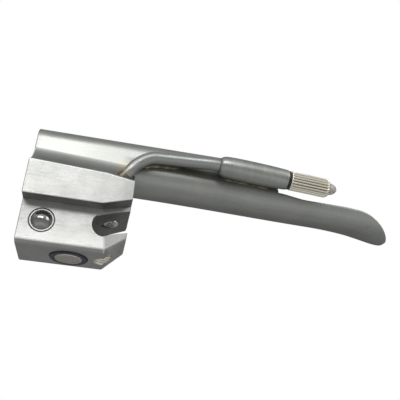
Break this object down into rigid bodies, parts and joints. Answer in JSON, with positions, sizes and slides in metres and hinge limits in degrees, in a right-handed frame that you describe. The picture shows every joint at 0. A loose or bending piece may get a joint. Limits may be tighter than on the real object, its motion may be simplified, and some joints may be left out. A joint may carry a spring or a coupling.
{
  "type": "laryngoscope blade",
  "caption": "Straight hook-on laryngoscope blade with a channelled steel spatula, a base block that hooks onto a handle, and a screw-in lamp fed by a lead in a side tube.",
  "frame": {"origin": "centre of the contact button's face, where the handle's contact presses on it", "axes": "+X towards the blade's tip, +Z away from the handle, -Y the side that carries the light tube and lamp"},
  "size_m": [0.0778, 0.0194, 0.0272],
  "materials": {
    "satin_steel": "satin, bead blasted",
    "machined_steel": "machined, softly brushed",
    "ball_steel": "polished",
    "nickel_brass": "nickel plated",
    "contact_metal": "worn plating",
    "copper": "bare",
    "insulator": "moulded",
    "black_rubber": "matt",
    "wire_sleeve": "matt",
    "lamp_glass": "clear",
    "cement": "matt",
    "tungsten": "drawn wire"
  },
  "bodies": {
    "body": {"base_block": "machined_steel", "blade": "satin_steel", "block_fixing_screw": "satin_steel", "contact_button": "contact_metal", "contact_insulator": "insulator", "contact_tag": "contact_metal", "detent_spring": "ball_steel", "lamp_socket": "satin_steel", "lead_insulation": "wire_sleeve", "lead_wire": "copper", "light_tube": "satin_steel", "socket_contact": "contact_metal", "socket_insulator": "insulator"},
    "ball_lamp_side": {"detent_ball_lamp_side": "ball_steel"},
    "ball_open_side": {"detent_ball_open_side": "ball_steel"},
    "lamp_carrier": {"lamp_seal_ring": "black_rubber"},
    "lamp": {"lamp_shell": "nickel_brass", "lamp_glass": "lamp_glass", "lamp_bead": "lamp_glass", "lamp_support_live": "tungsten", "lamp_support_return": "tungsten", "lamp_filament": "tungsten", "lamp_cement": "cement", "lamp_base_insulator": "insulator", "lamp_centre_contact": "contact_metal"}
  },
  "joints": [
    {"name": "detent_lamp_side", "type": "slide", "parent": "body", "child": "ball_lamp_side", "axis": [0, 1, 0], "range_m": [0, 0.00105], "stiffness_N_per_m": 1500, "deforming": ["detent_spring"]},
    {"name": "detent_open_side", "type": "slide", "parent": "body", "child": "ball_open_side", "axis": [0, -1, 0], "range_m": [0, 0.00105], "stiffness_N_per_m": 1500, "deforming": ["detent_spring"]},
    {"name": "lamp_travel", "type": "slide", "parent": "body", "child": "lamp_carrier", "axis": [0.9981, 0, -0.061], "range_m": [0, 0.0045]},
    {"name": "lamp_unscrew", "type": "hinge", "parent": "lamp_carrier", "child": "lamp", "pos_m": [0.0276, -0.00775, 0.02195], "axis": [0.9981, 0, -0.061], "range_deg": [0, 3240]}
  ],
  "couplings": [
    {"joint": "lamp_unscrew", "follows": "lamp_travel", "rad_per_m": 12566}
  ]
}
